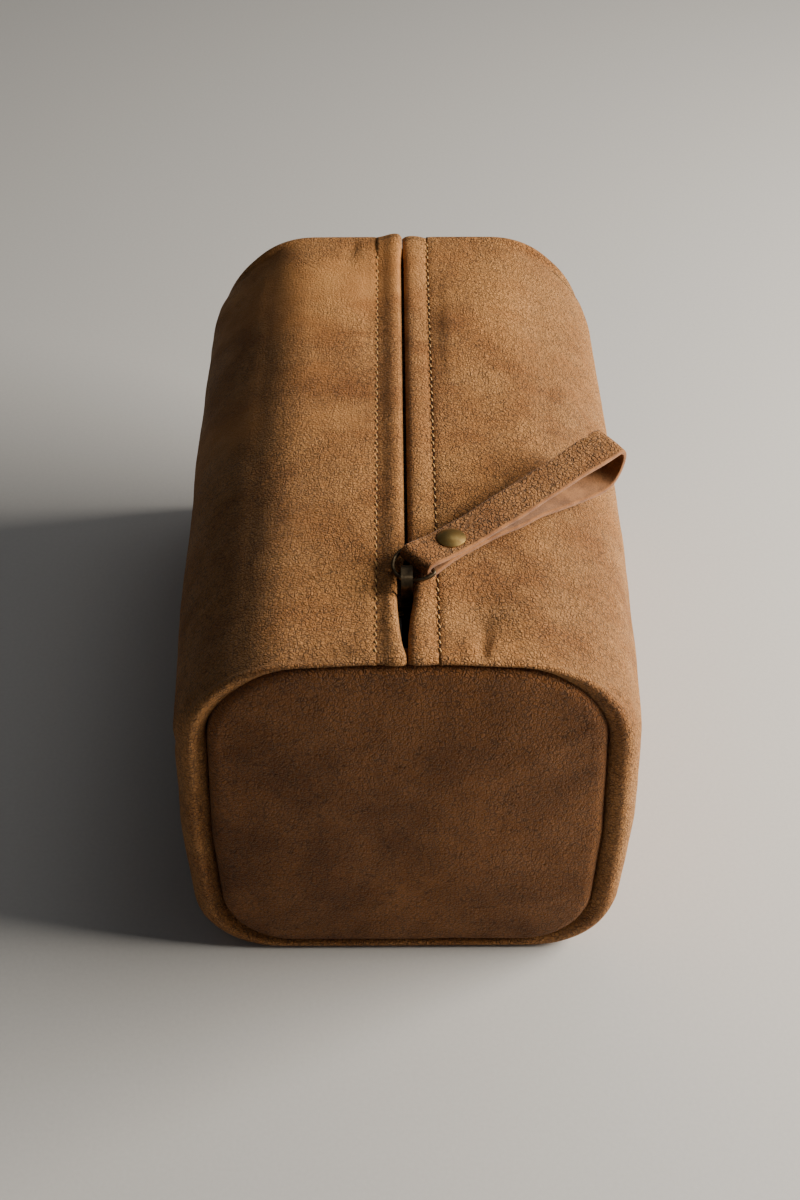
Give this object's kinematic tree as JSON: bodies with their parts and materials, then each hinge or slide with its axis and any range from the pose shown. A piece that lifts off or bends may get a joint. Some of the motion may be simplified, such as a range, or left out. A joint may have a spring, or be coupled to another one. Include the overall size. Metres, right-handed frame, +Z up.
{
  "type": "shaving kit bag",
  "caption": "Boxy leather shaving kit bag with rounded end panels, a zip along the top, and a riveted leather loop pull on the slider's ring.",
  "frame": {"origin": "centre of the bounding box's bottom face, on the surface that the bag stands on", "axes": "+Z up; +Y along the bag, from the end where the closed zip's slider is to the other end; +X across it, to the side where the pull lies"},
  "size_m": [0.156, 0.2468, 0.1402],
  "materials": {
    "leather": "tan nubuck with a pebbled grain and pull-up mottling",
    "pull_leather": "tan pebbled leather, a little darker, with pale raw edges",
    "lining": "dark plain-weave cotton",
    "zip_tape": "dark herringbone tape",
    "thread": "waxed cream-tan thread",
    "zip_metal": "darkened antique brass, worn bright on its edges",
    "antique_brass": "satin antique brass"
  },
  "bodies": {
    "bag": {"body_panel": "leather", "front_end_panel": "leather", "rear_end_panel": "leather", "body_lining": "lining", "front_end_lining": "lining", "rear_end_lining": "lining", "front_seam_thread": "thread", "rear_seam_thread": "thread", "zip_stitching_left": "thread", "zip_stitching_right": "thread", "zip_tape_left": "zip_tape", "zip_tape_right": "zip_tape", "zip_teeth_left": "zip_metal", "zip_teeth_right": "zip_metal", "top_stop_left": "zip_metal", "top_stop_right": "zip_metal", "bottom_stop": "zip_metal"},
    "slider": {"slider_body": "zip_metal", "slider_bridge": "zip_metal"},
    "ring": {"pull_ring": "zip_metal"},
    "strap": {"pull_strap": "pull_leather", "rivet_cap": "antique_brass", "rivet_base": "antique_brass"}
  },
  "joints": [
    {"name": "slider_slide", "type": "slide", "parent": "bag", "child": "slider", "axis": [0, 1, 0], "range_m": [0, 0.185], "deforming": ["zip_teeth_left", "zip_teeth_right"]},
    {"name": "ring_swing", "type": "hinge", "parent": "slider", "child": "ring", "pos_m": [0, -0.08504, 0.1324], "axis": [0.8995, -0.429, 0.0825], "range_deg": [0, 110]},
    {"name": "strap_swing", "type": "hinge", "parent": "ring", "child": "strap", "pos_m": [0.004, -0.0776, 0.134], "axis": [0.6494, -0.7604, 0], "range_deg": [0, 60]}
  ]
}
